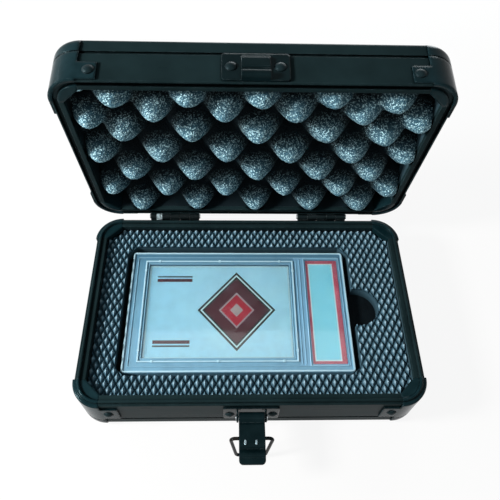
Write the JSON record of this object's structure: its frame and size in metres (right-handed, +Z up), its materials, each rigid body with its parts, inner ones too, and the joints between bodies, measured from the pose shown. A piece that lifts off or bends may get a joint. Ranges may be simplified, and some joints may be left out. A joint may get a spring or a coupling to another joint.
{
  "type": "graded card storage box",
  "caption": "Hinged aluminium-framed case with a draw latch: cut foam holds a card slab, and egg-crate foam lines the lid.",
  "frame": {"origin": "under the middle of the base, on the plane that its corner castings stand on", "axes": "+X along the case, to the right as seen from the latch; +Y from the latch to the hinges; +Z up"},
  "size_m": [0.1998, 0.1826, 0.1628],
  "materials": {
    "frame": "satin black anodised",
    "casting": "satin black",
    "rivet": "satin black",
    "panel": "fine black grain",
    "lining": "matte black",
    "cut_foam": "black closed-cell foam with a diamond face",
    "egg_crate_foam": "black open-cell foam",
    "hinge": "satin black",
    "pin": "plain",
    "latch": "gloss black",
    "bail_wire": "blackened",
    "clear_shell": "clear",
    "card": null,
    "label": "printed, blank with a red border"
  },
  "bodies": {
    "base": {"base_corner_front_left": "casting", "base_corner_front_right": "casting", "base_corner_rear_left": "casting", "base_corner_rear_right": "casting", "base_corner_rivets": "rivet", "base_front_rail": "frame", "base_hinge_leaf_left": "hinge", "base_hinge_leaf_right": "hinge", "base_hinge_rivets": "rivet", "base_left_rail": "frame", "base_panel": "panel", "base_rear_rail": "frame", "base_right_rail": "frame", "base_wall_boards": "lining", "foam_insert": "cut_foam", "foam_pad": "cut_foam", "hinge_pin_left": "pin", "hinge_pin_right": "pin", "latch_pin": "pin", "latch_plate": "latch", "latch_plate_rivets": "rivet"},
    "lid": {"catch_plate": "latch", "catch_plate_rivets": "rivet", "lid_corner_front_left": "casting", "lid_corner_front_right": "casting", "lid_corner_rear_left": "casting", "lid_corner_rear_right": "casting", "lid_corner_rivets": "rivet", "lid_foam": "egg_crate_foam", "lid_front_rail": "frame", "lid_hinge_leaf_left": "hinge", "lid_hinge_leaf_right": "hinge", "lid_hinge_rivets": "rivet", "lid_left_rail": "frame", "lid_panel": "panel", "lid_rear_rail": "frame", "lid_right_rail": "frame", "lid_wall_boards": "lining"},
    "latch_lever": {"latch_lever": "latch"},
    "latch_bail": {"latch_bail": "bail_wire"},
    "slab": {"slab_card": "card", "slab_front_shell": "clear_shell", "slab_label": "label", "slab_rear_shell": "clear_shell"}
  },
  "joints": [
    {"name": "lid_hinge", "type": "hinge", "parent": "base", "child": "lid", "pos_m": [0, 0.0649, 0.03215], "axis": [-1, 0, 0], "range_deg": [-82, 0]},
    {"name": "lever_pin", "type": "hinge", "parent": "base", "child": "latch_lever", "pos_m": [0, -0.0671, 0.026], "axis": [-1, 0, 0], "range_deg": [-90, 0]},
    {"name": "bail_pivot", "type": "hinge", "parent": "latch_lever", "child": "latch_bail", "pos_m": [0, -0.0779, 0.0252], "axis": [-1, 0, 0], "range_deg": [0, 264.04]},
    {"name": "slab_lift", "type": "slide", "parent": "base", "child": "slab", "axis": [0, 0, 1], "range_m": [0, 0.004]}
  ],
  "couplings": [
    {"joint": "bail_pivot", "follows": "lever_pin", "ratio": -2.9337}
  ]
}
